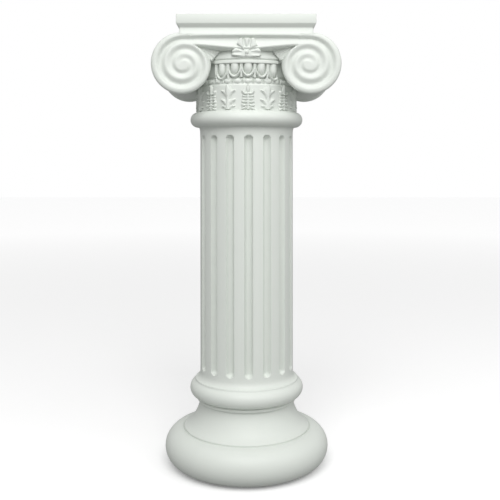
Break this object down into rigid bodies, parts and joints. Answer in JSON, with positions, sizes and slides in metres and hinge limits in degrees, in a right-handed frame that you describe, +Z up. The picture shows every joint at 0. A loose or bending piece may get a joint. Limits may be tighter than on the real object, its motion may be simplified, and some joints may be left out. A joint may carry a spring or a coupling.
{
  "type": "ionic column",
  "caption": "Small ornamental Ionic column cast in one piece, with a moulded round base, fluted shaft and scroll capital, that stands by its own weight and can carry a light thing on top.",
  "frame": {"origin": "centre of the flat underside, on the surface it stands on", "axes": "+Z up along the column's axis, -Y out of the front scroll face, +X to the front's right"},
  "size_m": [0.0952, 0.091, 0.2407],
  "materials": {
    "cast_alabaster": "satin"
  },
  "bodies": {
    "root": {"ionic_column": "cast_alabaster"}
  },
  "joints": []
}
